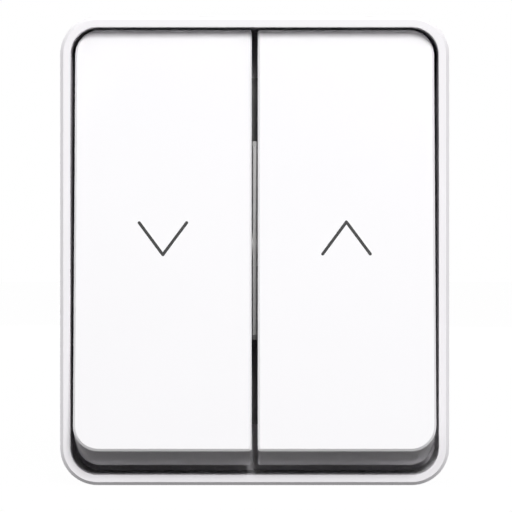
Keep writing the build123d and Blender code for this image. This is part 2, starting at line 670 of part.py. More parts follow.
def make_spring(side, label):
    """Coil spring between the barrel's blind end and the plunger's head."""
    start = BARREL_END + LIP_T + RUNNING + PLUNGER_HEAD
    length = CRADLE_W - start - WIRE_D
    coil_r = BARREL_ID / 2 - RUNNING - FIT - WIRE_D / 2
    base = rocker_front(start + WIRE_D / 2)
    with BuildPart() as spring:
        with BuildLine():
            centre = base.from_local_coords((side * BARREL_X, 0, 0))
            path = Helix(SPRING_PITCH, length, coil_r, center=centre, direction=base.z_dir)
        with BuildSketch(Plane(origin=path @ 0, z_dir=path % 0)):
            Circle(WIRE_D / 2)
        sweep(path=path)
    finish(spring.part, label)


def see_saw(side):
    """Plane on the back of a moving contact at rest: local y runs up along it, local z out of it."""
    return Plane(origin=(side * BARREL_X, -KNIFE_U, 0), x_dir=(1, 0, 0), z_dir=(0, -cos(TILT), -sin(TILT)))


def make_moving_contact(side, label):
    """See-saw contact: a stiff strip that rests on the knife edge by its middle."""
    with BuildPart() as contact:
        with BuildSketch(see_saw(side)):
            RectangleRounded(STRIP_W, STRIP_L, STRIP_R)
        extrude(amount=STRIP_T)
    finish(contact.part, label)


def make_moving_tips(side, label):
    """Silver tips on the back of the see-saw contact, one at each arm that closes a circuit."""
    rows = (-1, 1) if side < 0 else (1,)
    with BuildPart() as tips:
        with BuildSketch(see_saw(side)):
            with Locations(*[(0, row * CONTACT_ARM) for row in rows]):
                Circle(TIP_R)
        extrude(amount=-TIP_T)
        chamfer(tips.faces().filter_by(lambda f: f.normal_at().Y > 0.5).edges(), TIP_BREAK)
    finish(tips.part, label)


for side, name in ((-1, "left"), (1, "right")):
    make_rocker(side, f"{name}_rocker")
    make_cradle(side, f"{name}_cradle")
    make_plunger(side, f"{name}_plunger")
    make_spring(side, f"{name}_spring")
    make_moving_contact(side, f"{name}_moving_contact")
    make_moving_tips(side, f"{name}_moving_tips")

# Terminals: middle of the chamber in X and Z, and the direction from it towards the contact
terminals = {
    "line": ((-CHAMBER_X, 0), (1, 0, 0)),
    "up": ((-BARREL_X, CHAMBER_Z), (0, 0, -1)),
    "down": ((BARREL_X, CHAMBER_Z), (0, 0, -1)),
}


def terminal_plan(name, u):
    """Front view of one terminal at depth u: local y runs towards its contact."""
    (x, z), towards = terminals[name]
    across = Vector(*towards).cross(Vector(0, -1, 0))
    return Plane(origin=(x, -u, z), x_dir=across, z_dir=(0, -1, 0))


def terminal_side(name, offset):
    """Side view of one terminal: local x runs towards its contact, local y to the front from the deck."""
    (x, z), towards = terminals[name]
    across = Vector(*towards).cross(Vector(0, -1, 0))
    return Plane(origin=(x, -DECK_U, z), x_dir=towards, z_dir=across).offset(offset)


# Insert body
with BuildPart() as insert_body:
    with BuildSketch(front(BODY_REAR_U)):
        RectangleRounded(BODY_W, BODY_H, BODY_R)
    extrude(amount=FLANGE_U - BODY_REAR_U)
    with BuildSketch(front(DECK_U)):
        RectangleRounded(INNER_W, INNER_H, BODY_R - BODY_WALL / 2)
    extrude(amount=FLANGE_U, mode=Mode.SUBTRACT)
    # Partition between the two switches, with a notch for the interlock link
    with BuildSketch(front(DECK_U)):
        Rectangle(PARTITION_T, INNER_H + FIT)
    extrude(amount=FLANGE_U - DECK_U)
    with BuildSketch(front(DECK_U)):
        with Locations((0, -TIP_Z)):
            Rectangle(PARTITION_T * 2, LINK_W + 4 * FIT)
    extrude(amount=BAR_T + 2 * FIT, mode=Mode.SUBTRACT)
    # Guides beside the see-saw contacts and a stop for the arm that closes nothing
    with BuildSketch(front(DECK_U)):
        for x in (-BARREL_X, BARREL_X):
            with Locations((x, GUIDE_Z + GUIDE_H / 2)):
                with GridLocations(STRIP_W + 2 * GUIDE_PLAY + GUIDE_T, 0, 2, 1):
                    Rectangle(GUIDE_T, GUIDE_H)
    extrude(amount=KNIFE_U + GUIDE_STAND - DECK_U)
    with BuildSketch(front(DECK_U)):
        with Locations((BARREL_X, -TIP_Z)):
            Rectangle(STRIP_W, STOP_T)
    extrude(amount=KNIFE_U - ARM_DROP - STOP_GAP - DECK_U)
    # Terminal chambers, wire holes and pusher slots
    for name in terminals:
        with BuildSketch(terminal_plan(name, CHAMBER_FLOOR_U)):
            Rectangle(CHAMBER_W, CHAMBER_L)
        extrude(amount=FLANGE_U - CHAMBER_FLOOR_U, mode=Mode.SUBTRACT)
        # The deck's edge is broken where the bar bends over it
        with BuildSketch(terminal_side(name, -CHAMBER_W / 2)):
            with BuildLine():
                edge = CHAMBER_L / 2
                Polyline((edge, 0), (edge, -BAR_BEND / 2), (edge + BAR_BEND / 2, 0), close=True)
            make_face()
        extrude(amount=CHAMBER_W, mode=Mode.SUBTRACT)
        with BuildSketch(terminal_plan(name, BODY_REAR_U)):
            with Locations((0, WIRE_T)):
                Circle(WIRE_HOLE_R)
            with Locations((0, PUSHER_MIDDLE)):
                Rectangle(PUSHER_W + 2 * RUNNING, PUSHER_T + 2 * RUNNING)
        extrude(amount=BODY_WALL, mode=Mode.SUBTRACT)
    # Pockets open to the rear keep the walls even
    with BuildSketch(front(BODY_REAR_U)):
        pocket_h = (INNER_H - 4 * BODY_WALL) / 3
        inner_w = BARREL_X - (CHAMBER_W + 3 * BODY_WALL) / 2
        outer_w = CHAMBER_L - BODY_WALL / 2
        with GridLocations(inner_w + BODY_WALL, pocket_h + BODY_WALL, 2, 3):
            Rectangle(inner_w, pocket_h)
        with Locations((CHAMBER_X, 0)):
            with GridLocations(0, pocket_h + BODY_WALL, 1, 3):
                Rectangle(outer_w, pocket_h)
        with Locations((-CHAMBER_X, 0)):
            with GridLocations(0, 2 * (pocket_h + BODY_WALL), 1, 2):
                Rectangle(outer_w, pocket_h)
        with Locations((-BARREL_X, -INNER_H / 4), (BARREL_X, -INNER_H / 4)):
            Rectangle(CHAMBER_W - BODY_WALL / 2, INNER_H / 2 - 2 * BODY_WALL)
    extrude(amount=DECK_U - BODY_WALL - BODY_REAR_U, mode=Mode.SUBTRACT)
    # Pockets in the upper and lower wall for the bearing frame's hooks
    for row in (-1, 1):
        for column in (-1, 1):
            with BuildSketch(front(FLANGE_U - LEG_L)):
                with Locations((column * BARREL_X, row * (BODY_H / 2 - LEG_HOOK / 2))):
                    Rectangle(LEG_W + 4 * FIT, LEG_HOOK)
            extrude(amount=2 * LEG_HOOK + FIT, mode=Mode.SUBTRACT)
finish(insert_body.part, "insert_body")


def knife_section(low_x):
    """Section of a bar that runs along X: a flat on the deck, folded up to a sharp edge."""
    with BuildSketch(side_view(low_x)) as section:
        with BuildLine():
            FilletPolyline(
                (BAR_T / 2 - LINK_W, DECK_U + BAR_T / 2),
                (0, DECK_U + BAR_T / 2),
                (0, KNIFE_U - BAR_T),
                radius=BAR_BEND,
            )
        trace(line_width=BAR_T)
        with BuildLine():
            Polyline((-BAR_T / 2, KNIFE_U - BAR_T), (BAR_T / 2, KNIFE_U - BAR_T), (0, KNIFE_U), close=True)
        make_face()
    return section.sketch


# Fixed contact bars: flat on the deck, and a tab bent down into the terminal
for name in ("up", "down"):
    with BuildPart() as bar:
        with BuildSketch(terminal_side(name, -STRIP_W / 2)):
            with BuildLine():
                FilletPolyline(
                    (TAB_MIDDLE, CHAMBER_DROP + TAB_FOOT),
                    (TAB_MIDDLE, BAR_T / 2),
                    (CHAMBER_Z - TIP_Z + BAR_OVER, BAR_T / 2),
                    radius=BAR_BEND,
                )
            trace(line_width=BAR_T)
        extrude(amount=STRIP_W)
    finish(bar.part, f"{name}_contact")

# Supply bar: a wide tab in the terminal, a neck bent over the deck's edge, a flat and a knife edge
with BuildPart() as line_bar:
    flat_start = TAB_MIDDLE + BAR_BEND - CHAMBER_X
    flat_end = -BARREL_X - STRIP_W / 2
    with BuildSketch(terminal_side("line", -BAR_T / 2)):
        with BuildLine():
            FilletPolyline(
                (TAB_MIDDLE, -CLAMP_TOP - BAR_T),
                (TAB_MIDDLE, BAR_T / 2),
                (TAB_MIDDLE + BAR_BEND + FIT, BAR_T / 2),
                radius=BAR_BEND,
            )
        trace(line_width=BAR_T)
    extrude(amount=LINK_W)
    with BuildSketch(terminal_side("line", -STRIP_W / 2)):
        with Locations((TAB_MIDDLE, -CLAMP_TOP)):
            Rectangle(BAR_T, -CHAMBER_DROP - TAB_FOOT - CLAMP_TOP, align=(Align.CENTER, Align.MAX))
    extrude(amount=STRIP_W)
    with BuildSketch(front(DECK_U)):
        with Locations((flat_start, BAR_T / 2)):
            Rectangle(flat_end - flat_start, LINK_W, align=(Align.MIN, Align.MAX))
    extrude(amount=BAR_T)
    extrude(knife_section(flat_end), amount=STRIP_W)
finish(line_bar.part, "line_bar")

# Interlock link: from under the left see-saw's lower tip to the right knife edge
with BuildPart() as interlock_link:
    link_end = BARREL_X - STRIP_W / 2
    link_turn = link_end - LINK_CLEAR
    with BuildSketch(front(DECK_U)):
        with Locations((-BARREL_X, -TIP_Z)):
            Rectangle(STRIP_W, 2 * BAR_OVER)
        with Locations(((link_turn - BARREL_X) / 2, -TIP_Z)):
            Rectangle(link_turn + BARREL_X, LINK_W)
        with Locations((link_turn, -TIP_Z - LINK_W / 2)):
            Rectangle(LINK_W, TIP_Z + LINK_W / 2 + BAR_T / 2, align=(Align.MAX, Align.MIN))
        with Locations((link_turn - LINK_W, BAR_T / 2)):
            Rectangle(link_end - link_turn + LINK_W, LINK_W, align=(Align.MIN, Align.MAX))
    extrude(amount=BAR_T)
    extrude(knife_section(link_end), amount=STRIP_W)
finish(interlock_link.part, "interlock_link")

with BuildPart() as fixed_tips:
    with BuildSketch(front(DECK_U + BAR_T)):
        with Locations((-BARREL_X, TIP_Z), (-BARREL_X, -TIP_Z), (BARREL_X, TIP_Z)):
            Circle(TIP_R)
    extrude(amount=TIP_T)
finish(fixed_tips.part, "fixed_tips")

# Clamp springs, bent to press a wire against the tab, and release pushers
for name in terminals:
    with BuildPart() as clamp:
        back = TAB_PLAY + CLAMP_T / 2 - CHAMBER_L / 2
        with BuildSketch(terminal_side(name, -STRIP_W / 2)):
            with BuildLine():
                FilletPolyline(
                    (back, -CLAMP_TOP),
                    (back, CHAMBER_DROP + TAB_PLAY + CLAMP_T / 2),
                    (TAB_T - BAR_T - CLAMP_GAP, -CLAMP_REACH),
                    radius=CLAMP_BEND,
                )
            trace(line_width=CLAMP_T)
        extrude(amount=STRIP_W)
    finish(clamp.part, f"{name}_clamp_spring")
    with BuildPart() as pusher:
        with BuildSketch(terminal_plan(name, BODY_REAR_U - PUSHER_STAND)):
            with Locations((0, PUSHER_MIDDLE)):
                Rectangle(PUSHER_W, PUSHER_T)
        extrude(amount=PUSHER_STAND + BODY_WALL + RUNNING)
        # Shoulder inside the chamber that keeps it from falling out
        with BuildSketch(terminal_plan(name, CHAMBER_FLOOR_U + RUNNING)):
            with Locations((0, PUSHER_MIDDLE)):
                Rectangle(PUSHER_W + 2 * PUSHER_SHOULDER, PUSHER_T)
        extrude(amount=PUSHER_SHOULDER)
    finish(pusher.part, f"{name}_release")
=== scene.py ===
"""Finishes, springs, membranes, direction marks and a plain studio for a roller shutter switch."""

import json
import math

import bmesh
import bpy
from mathutils import Matrix, Vector


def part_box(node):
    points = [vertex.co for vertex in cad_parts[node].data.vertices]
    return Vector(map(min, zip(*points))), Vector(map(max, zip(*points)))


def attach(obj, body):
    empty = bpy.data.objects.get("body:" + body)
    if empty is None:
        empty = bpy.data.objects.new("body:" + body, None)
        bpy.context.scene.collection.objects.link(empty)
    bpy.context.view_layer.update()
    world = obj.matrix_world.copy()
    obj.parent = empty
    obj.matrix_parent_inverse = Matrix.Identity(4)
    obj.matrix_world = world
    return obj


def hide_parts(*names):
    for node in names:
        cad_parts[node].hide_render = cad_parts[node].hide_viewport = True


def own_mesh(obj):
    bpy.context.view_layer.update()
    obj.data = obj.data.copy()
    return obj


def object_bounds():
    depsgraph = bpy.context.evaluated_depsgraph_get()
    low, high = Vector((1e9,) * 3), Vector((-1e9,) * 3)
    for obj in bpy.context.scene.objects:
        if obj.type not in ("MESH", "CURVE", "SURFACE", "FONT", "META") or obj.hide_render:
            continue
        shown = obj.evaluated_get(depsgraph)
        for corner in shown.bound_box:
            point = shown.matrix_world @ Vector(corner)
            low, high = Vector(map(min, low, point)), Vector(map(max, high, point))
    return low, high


bl_info = {
    "name": "Roller Shutter Switch",
    "version": (1, 0, 0),
    "blender": (4, 5, 0),
    "location": "View3D > Sidebar > Switch",
    "description": "Finishes, direction marks and studio of a surface-mounted roller shutter switch",
    "category": "Object",
}

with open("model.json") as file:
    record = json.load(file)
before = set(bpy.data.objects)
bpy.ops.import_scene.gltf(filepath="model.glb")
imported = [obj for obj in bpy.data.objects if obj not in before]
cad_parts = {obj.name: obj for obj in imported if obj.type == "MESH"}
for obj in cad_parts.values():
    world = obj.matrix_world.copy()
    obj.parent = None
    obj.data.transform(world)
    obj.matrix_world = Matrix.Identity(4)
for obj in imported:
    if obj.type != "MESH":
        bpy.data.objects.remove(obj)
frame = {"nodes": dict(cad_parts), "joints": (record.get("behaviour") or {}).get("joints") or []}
CAD_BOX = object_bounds()
NODES = frame["nodes"]
JOINTS = {joint["name"]: joint for joint in frame["joints"]}

MM = 0.001
WELD = 0.001 * MM  # points nearer than this become one
CORNER = math.radians(40)  # edges that turn by more stay sharp in the shading
CAP_STEPS = 32  # round a mark's line end
WIRE_STEPS = 12  # round a spring's wire
TURN_STEPS = 32  # along one turn of a spring
RING_STEPS = 96  # round a membrane

# A Mix node gives its number and colour sockets the same names, so the colour ones go by their place
MIX_SHARE, MIX_A, MIX_B, MIX_RESULT = 0, 6, 7, 2

# A pixel of the render is 0.2 mm wide. Mould grain, ink grain and rolling lines are really finer than
# 0.1 mm, so all of them are drawn 0.2 to 0.6 mm wide, as coarse as they need to be to show.
FLOW_MM = 18  # the cloudy patches that the melt's flow leaves
SHEEN_SPREAD = 0.03  # how far a plastic's roughness strays with its grain
DUST_MM = 0.6  # the bloom on rubber
LINE_STRETCH = 12  # a rolling line's length over its width
LINE_DEPTH_MM = 0.01

SENSOR_MM = 36.0
FLOOR_REACH = 6.0
LAMP_DISTANCE = 1.6
# Each lamp's place, in degrees to the right and above as seen from the switch's front, and its size
LAMPS = {
    "key": {"right": 6.8, "rise": 27.2, "width": 0.28, "height": 0.5},
    "left": {"right": -50, "rise": 25, "width": 0.8, "height": 0.8},
    "right": {"right": 45, "rise": 25, "width": 0.8, "height": 0.8},
    "back": {"right": 165, "rise": 15, "width": 1.2, "height": 1.2},
}

# The rockers' own axes, from the frame: out of the face is the way their plungers slide
PIVOT = Vector(JOINTS["left_rocker_tilt"]["pos_m"])
FACE_OUT = Vector(JOINTS["left_plunger_slide"]["axis"]).normalized()
FACE_RIGHT = Vector((1, 0, 0))
FACE_UP = FACE_OUT.cross(FACE_RIGHT)
FACE_DEPTH = max((v.co - PIVOT).dot(FACE_OUT) for v in NODES["left_rocker"].data.vertices)
FACING = Matrix((FACE_RIGHT, FACE_UP, FACE_OUT)).transposed().to_4x4()


def linear(hex_colour, share=1.0):
    """A share of an sRGB hex colour's light, as a linear colour with alpha 1."""
    channels = [int(hex_colour[i : i + 2], 16) / 255 for i in (1, 3, 5)]
    return [share * (c / 12.92 if c <= 0.04045 else ((c + 0.055) / 1.055) ** 2.4) for c in channels] + [1.0]


def add_node(tree, kind, settings=None, inputs=None, links=None):
    """Adds a node, sets its properties and sockets and links sockets to other nodes' outputs."""
    node = tree.nodes.new(kind)
    for name, value in (settings or {}).items():
        setattr(node, name, value)
    for name, value in (inputs or {}).items():
        node.inputs[name].default_value = value
    for name, output in (links or {}).items():
        tree.links.new(output, node.inputs[name])
    return node


def new_material(name):
    """An empty material with its tree, its Object coordinates and a Principled shader on the output."""
    material = bpy.data.materials.new(name)
    material.use_nodes = True
    tree = material.node_tree
    tree.nodes.clear()
    place = add_node(tree, "ShaderNodeTexCoord").outputs["Object"]
    shader = add_node(tree, "ShaderNodeBsdfPrincipled")
    add_node(tree, "ShaderNodeOutputMaterial", links={"Surface": shader.outputs["BSDF"]})
    return material, tree, place, shader


def moulded_plastic(name, colour, roughness, grain_mm, depth_mm, shade=0.985, ior=1.5, shine=0.5):
    """Moulded thermoplastic: faint flow variation and the fine grain of the mould."""
    material, tree, place, shader = new_material(name)
    flow = add_node(
        tree,
        "ShaderNodeTexNoise",
        inputs={"Scale": 1 / (FLOW_MM * MM), "Detail": 3.0},
        links={"Vector": place},
    )
    tint = add_node(
        tree,
        "ShaderNodeMix",
        settings={"data_type": "RGBA"},
        inputs={MIX_A: linear(colour), MIX_B: linear(colour, shade)},
        links={MIX_SHARE: flow.outputs["Fac"]},
    )
    tree.links.new(tint.outputs[MIX_RESULT], shader.inputs["Base Color"])
    grain = add_node(
        tree,
        "ShaderNodeTexNoise",
        inputs={"Scale": 1 / (grain_mm * MM), "Detail": 2.0},
        links={"Vector": place},
    )
    sheen = add_node(
        tree,
        "ShaderNodeMapRange",
        inputs={"To Min": roughness - SHEEN_SPREAD, "To Max": roughness + SHEEN_SPREAD},
        links={"Value": grain.outputs["Fac"]},
    )
    tree.links.new(sheen.outputs["Result"], shader.inputs["Roughness"])
    bump = add_node(
        tree,
        "ShaderNodeBump",
        inputs={"Strength": 0.5, "Distance": depth_mm * MM},
        links={"Height": grain.outputs["Fac"]},
    )
    tree.links.new(bump.outputs["Normal"], shader.inputs["Normal"])
    shader.inputs["IOR"].default_value = ior
    shader.inputs["Specular IOR Level"].default_value = shine
    return material


def stamped_metal(name, colour, roughness, line_mm, shade=0.86, smoother=0.06, rougher=0.08):
    """Rolled or drawn metal: lines along the rolling direction in tone, roughness and bump."""
    material, tree, place, shader = new_material(name)
    stretch = add_node(
        tree,
        "ShaderNodeMapping",
        inputs={"Scale": (1.0, LINE_STRETCH, LINE_STRETCH)},
        links={"Vector": place},
    )
    lines = add_node(
        tree,
        "ShaderNodeTexNoise",
        inputs={"Scale": 1 / (LINE_STRETCH * line_mm * MM), "Detail": 4.0},
        links={"Vector": stretch.outputs["Vector"]},
    )
    tint = add_node(
        tree,
        "ShaderNodeMix",
        settings={"data_type": "RGBA"},
        inputs={MIX_A: linear(colour), MIX_B: linear(colour, shade)},
        links={MIX_SHARE: lines.outputs["Fac"]},
    )
    tree.links.new(tint.outputs[MIX_RESULT], shader.inputs["Base Color"])
    sheen = add_node(
        tree,
        "ShaderNodeMapRange",
        inputs={"To Min": roughness - smoother, "To Max": roughness + rougher},
        links={"Value": lines.outputs["Fac"]},
    )
    tree.links.new(sheen.outputs["Result"], shader.inputs["Roughness"])
    bump = add_node(
        tree,
        "ShaderNodeBump",
        inputs={"Strength": 0.3, "Distance": LINE_DEPTH_MM * MM},
        links={"Height": lines.outputs["Fac"]},
    )
    tree.links.new(bump.outputs["Normal"], shader.inputs["Normal"])
    shader.inputs["Metallic"].default_value = 1.0
    return material


def soft_rubber(name, colour, depth_mm=0.02, shade=0.9, roughness=0.7, shine=0.35):
    """Moulded elastomer: matte, with a fine dusty grain."""
    material, tree, place, shader = new_material(name)
    dust = add_node(
        tree,
        "ShaderNodeTexNoise",
        inputs={"Scale": 1 / (DUST_MM * MM), "Detail": 5.0},
        links={"Vector": place},
    )
    tint = add_node(
        tree,
        "ShaderNodeMix",
        settings={"data_type": "RGBA"},
        inputs={MIX_A: linear(colour, shade), MIX_B: linear(colour)},
        links={MIX_SHARE: dust.outputs["Fac"]},
    )
    tree.links.new(tint.outputs[MIX_RESULT], shader.inputs["Base Color"])
    bump = add_node(
        tree,
        "ShaderNodeBump",
        inputs={"Strength": 0.4, "Distance": depth_mm * MM},
        links={"Height": dust.outputs["Fac"]},
    )
    tree.links.new(bump.outputs["Normal"], shader.inputs["Normal"])
    shader.inputs["Roughness"].default_value = roughness
    shader.inputs["Specular IOR Level"].default_value = shine
    return material


def dress(material, names):
    """Gives CAD nodes a material."""
    for name in names:
        slots = NODES[name].data.materials
        slots.clear()
        slots.append(material)


def add_piece(context, name, shape, material, body):
    """Makes an object of a bmesh, smooth but for its corners, that rides on a body."""
    mesh = bpy.data.meshes.new(name)
    shape.to_mesh(mesh)
    shape.free()
    mesh.shade_smooth()
    mesh.set_sharp_from_angle(angle=CORNER)
    mesh.materials.append(material)
    piece = bpy.data.objects.new(name, mesh)
    context.scene.collection.objects.link(piece)
    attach(piece, body)
    return piece


class SwitchFinish(bpy.types.PropertyGroup):
    """Colours of the pieces, each as an sRGB hex value."""

    casing: bpy.props.StringProperty(name="Casing", description="Box and cover frame", default="#f8f6f9")
    rocker: bpy.props.StringProperty(name="Rockers", description="Rocker covers", default="#f7f6f8")
    mark: bpy.props.StringProperty(name="Marks", description="Printed direction marks", default="#333333")
    frame: bpy.props.StringProperty(name="Bearing frame", description="Plate and web", default="#a6a6a5")
    carrier: bpy.props.StringProperty(
        name="Carriers", description="Cradles, plungers and pushers", default="#b9bcbf"
    )
    insert: bpy.props.StringProperty(name="Insert", description="Insert body", default="#d9d9d5")
    membrane: bpy.props.StringProperty(
        name="Membranes", description="Cable entry membranes", default="#dcdcda"
    )
    seal: bpy.props.StringProperty(name="Seals", description="Seals inside", default="#8b8d90")
    brass: bpy.props.StringProperty(name="Brass", description="Bars and see-saw contacts", default="#c9a256")
    silver: bpy.props.StringProperty(name="Silver", description="Contact tips", default="#dcdcd8")
    zinc: bpy.props.StringProperty(name="Zinc", description="Cover screws", default="#c4c6c8")
    wire: bpy.props.StringProperty(name="Wire", description="Coil springs", default="#a9a9ab")
    strip: bpy.props.StringProperty(name="Strip", description="Clamp springs", default="#b2b2b3")


class SwitchMarks(bpy.types.PropertyGroup):
    """Sizes of the direction marks on the rockers."""

    width: bpy.props.FloatProperty(
        name="Width", description="Across one mark, over its round ends", default=9.85 * MM, unit="LENGTH"
    )
    height: bpy.props.FloatProperty(
        name="Height",
        description="Over all, from its line ends to its point",
        default=6.9 * MM,
        unit="LENGTH",
    )
    stroke: bpy.props.FloatProperty(
        name="Stroke", description="Width of the line", default=0.6 * MM, unit="LENGTH"
    )
    ink: bpy.props.FloatProperty(
        name="Ink", description="How far the print stands out of the face", default=0.02 * MM, unit="LENGTH"
    )
    sunk: bpy.props.FloatProperty(
        name="Sunk",
        description="How far the print's back lies inside the face",
        default=0.02 * MM,
        unit="LENGTH",
    )
    out: bpy.props.FloatProperty(
        name="Out",
        description="A mark's middle to the middle of the switch, across",
        default=17.87 * MM,
        unit="LENGTH",
    )
    rise: bpy.props.FloatProperty(
        name="Rise",
        description="The up mark's middle above the pivot line, along its face",
        default=0.14 * MM,
        unit="LENGTH",
    )


class SwitchMembranes(bpy.types.PropertyGroup):
    """Sizes of the cable entry membranes."""

    seat: bpy.props.FloatProperty(
        name="Seat", description="Width of the flange's seat round the neck", default=2.8 * MM, unit="LENGTH"
    )
    flange: bpy.props.FloatProperty(
        name="Flange", description="Thickness of the flange", default=1.2 * MM, unit="LENGTH"
    )
    edge: bpy.props.FloatProperty(
        name="Edge", description="Slope round the flange", default=0.25 * MM, unit="LENGTH"
    )
    ring: bpy.props.FloatProperty(
        name="Ring", description="Radius of the sunk middle", default=6.0 * MM, unit="LENGTH"
    )
    sunk: bpy.props.FloatProperty(
        name="Sunk", description="Depth of the sunk middle", default=0.8 * MM, unit="LENGTH"
    )
    eye: bpy.props.FloatProperty(
        name="Eye",
        description="Radius of the outer ridge that a knife follows",
        default=3.6 * MM,
        unit="LENGTH",
    )
    ridge: bpy.props.FloatProperty(
        name="Ridge", description="Height of a ridge", default=0.2 * MM, unit="LENGTH"
    )
    nipple: bpy.props.FloatProperty(
        name="Nipple",
        description="Radius of the point that a finger finds in the middle",
        default=0.5 * MM,
        unit="LENGTH",
    )
    foot: bpy.props.FloatProperty(
        name="Foot",
        description="Radius of that point where it meets the skin",
        default=0.8 * MM,
        unit="LENGTH",
    )
    lip: bpy.props.FloatProperty(
        name="Lip", description="Height of the lip inside", default=1.4 * MM, unit="LENGTH"
    )


class SwitchSprings(bpy.types.PropertyGroup):
    """Sizes of the plungers' coil springs."""

    wire: bpy.props.FloatProperty(name="Wire", description="Wire diameter", default=0.5 * MM, unit="LENGTH")
    closed: bpy.props.FloatProperty(
        name="Closed pitch",
        description="Rise of the closed turn at each end",
        default=0.53 * MM,
        unit="LENGTH",
    )
    turns: bpy.props.IntProperty(name="Turns", description="Open turns between the closed ends", default=6)


class SwitchStudio(bpy.types.PropertyGroup):
    """Camera, lamps and floor."""

    distance: bpy.props.FloatProperty(
        name="Distance", description="Camera to the cover frame's front", default=0.770, unit="LENGTH"
    )
    field: bpy.props.FloatProperty(
        name="Field", description="Width seen at the cover frame's front", default=99.96 * MM, unit="LENGTH"
    )
    aside: bpy.props.FloatProperty(
        name="Aside", description="Camera to the right of the middle", default=0.26 * MM, unit="LENGTH"
    )
    above: bpy.props.FloatProperty(
        name="Above", description="Camera above the middle", default=-0.99 * MM, unit="LENGTH"
    )
    key: bpy.props.FloatProperty(
        name="Key", description="Power of the lamp in front and above", default=20.2, unit="POWER"
    )
    left: bpy.props.FloatProperty(
        name="Left", description="Power of the lamp at the left", default=2.6, unit="POWER"
    )
    right: bpy.props.FloatProperty(
        name="Right", description="Power of the lamp at the right", default=2.0, unit="POWER"
    )
    back: bpy.props.FloatProperty(
        name="Back", description="Power of the lamp behind", default=11.0, unit="POWER"
    )
    ambient: bpy.props.FloatProperty(
        name="Ambient", description="Strength of the world's light", default=0.3, subtype="FACTOR"
    )
    floor: bpy.props.StringProperty(
        name="Floor", description="The floor's paint, as an sRGB hex value", default="#282828"
    )
    floor_glow: bpy.props.FloatProperty(
        name="Floor glow",
        description="Brightness that the camera adds to the floor, which keeps its shadow faint",
        default=0.985,
        subtype="FACTOR",
    )


class SWITCH_OT_casing(bpy.types.Operator):
    """Finishes the surface box and the cover frame"""

    bl_idname = "switch.casing"
    bl_label = "Casing"

    def execute(self, context):
        # ASA from a finely eroded mould: satin with hardly any gloss, its grain a mere softness to the eye
        asa = moulded_plastic(
            "moulded_asa",
            context.scene.switch_finish.casing,
            roughness=0.52,
            grain_mm=0.35,
            depth_mm=0.006,
            shine=0.12,
        )
        dress(asa, ["back_box", "cover_frame"])
        return {"FINISHED"}


class SWITCH_OT_rockers(bpy.types.Operator):
    """Finishes the rocker covers"""

    bl_idname = "switch.rockers"
    bl_label = "Rockers"

    def execute(self, context):
        # ASA from a finer mould: smoother than the casing, with a slightly tighter sheen
        asa = moulded_plastic(
            "polished_asa",
            context.scene.switch_finish.rocker,
            roughness=0.45,
            grain_mm=0.5,
            depth_mm=0.003,
            shine=0.12,
        )
        dress(asa, ["left_rocker", "right_rocker"])
        return {"FINISHED"}


class SWITCH_OT_mechanism(bpy.types.Operator):
    """Finishes the bearing frame, the insert body and the sliding and pivoting carriers"""

    bl_idname = "switch.mechanism"
    bl_label = "Mechanism"

    def execute(self, context):
        finish = context.scene.switch_finish
        # Polycarbonate, moulded: a clean, even satin grey
        polycarbonate = moulded_plastic(
            "moulded_polycarbonate", finish.frame, roughness=0.4, grain_mm=0.4, depth_mm=0.006, ior=1.58
        )
        dress(polycarbonate, ["bearing_frame"])
        # Polyamide, moulded: duller, with a slight mottle
        polyamide = moulded_plastic(
            "moulded_polyamide", finish.insert, roughness=0.5, grain_mm=0.6, depth_mm=0.01, shade=0.95
        )
        dress(polyamide, ["insert_body"])
        # Acetal, moulded: waxy grey
        acetal = moulded_plastic(
            "moulded_acetal", finish.carrier, roughness=0.42, grain_mm=0.5, depth_mm=0.006, shade=0.96
        )
        dress(acetal, ["left_cradle", "right_cradle", "left_plunger", "right_plunger"])
        dress(acetal, ["line_release", "up_release", "down_release"])
        return {"FINISHED"}


class SWITCH_OT_metal(bpy.types.Operator):
    """Finishes contacts and screws"""

    bl_idname = "switch.metal"
    bl_label = "Metal"

    def execute(self, context):
        finish = context.scene.switch_finish
        # Brass strip, rolled and stamped: warm and satin, with lines along the strip
        brass = stamped_metal("rolled_brass", finish.brass, roughness=0.3, line_mm=0.4)
        dress(brass, ["line_bar", "interlock_link", "up_contact", "down_contact"])
        dress(brass, ["left_moving_contact", "right_moving_contact"])
        # Silver, coined: the brightest metal here, its lines pressed wide and faint
        silver = stamped_metal("coined_silver", finish.silver, roughness=0.25, line_mm=0.5)
        dress(silver, ["fixed_tips", "left_moving_tips", "right_moving_tips"])
        # Steel, zinc plated: cool grey, a little cloudy
        zinc = stamped_metal("zinc_plated_steel", finish.zinc, roughness=0.35, line_mm=0.4)
        dress(zinc, ["cover_screws"])
        return {"FINISHED"}


def coil_spring(sizes, length, radius):
    """A compression spring that stands on XY, with one closed turn at each end."""
    shape = bmesh.new()
    across = Matrix.Rotation(math.pi / 2, 4, "X")
    start = Matrix.Translation((radius - sizes.wire / 2, 0, sizes.wire / 2)) @ across
    bmesh.ops.create_circle(shape, cap_ends=True, segments=WIRE_STEPS, radius=sizes.wire / 2, matrix=start)
    end = shape.verts[:] + shape.edges[:] + shape.faces[:]
    open_rise = length - sizes.wire - 2 * sizes.closed
    for turns, rise in ((1, sizes.closed), (sizes.turns, open_rise), (1, sizes.closed)):
        steps = turns * TURN_STEPS
        end = bmesh.ops.spin(
            shape,
            geom=end,
            cent=(0, 0, 0),
            axis=(0, 0, 1),
            dvec=(0, 0, rise / steps),
            angle=2 * math.pi * turns,
            steps=steps,
        )["geom_last"]
    bmesh.ops.recalc_face_normals(shape, faces=shape.faces)
    return shape


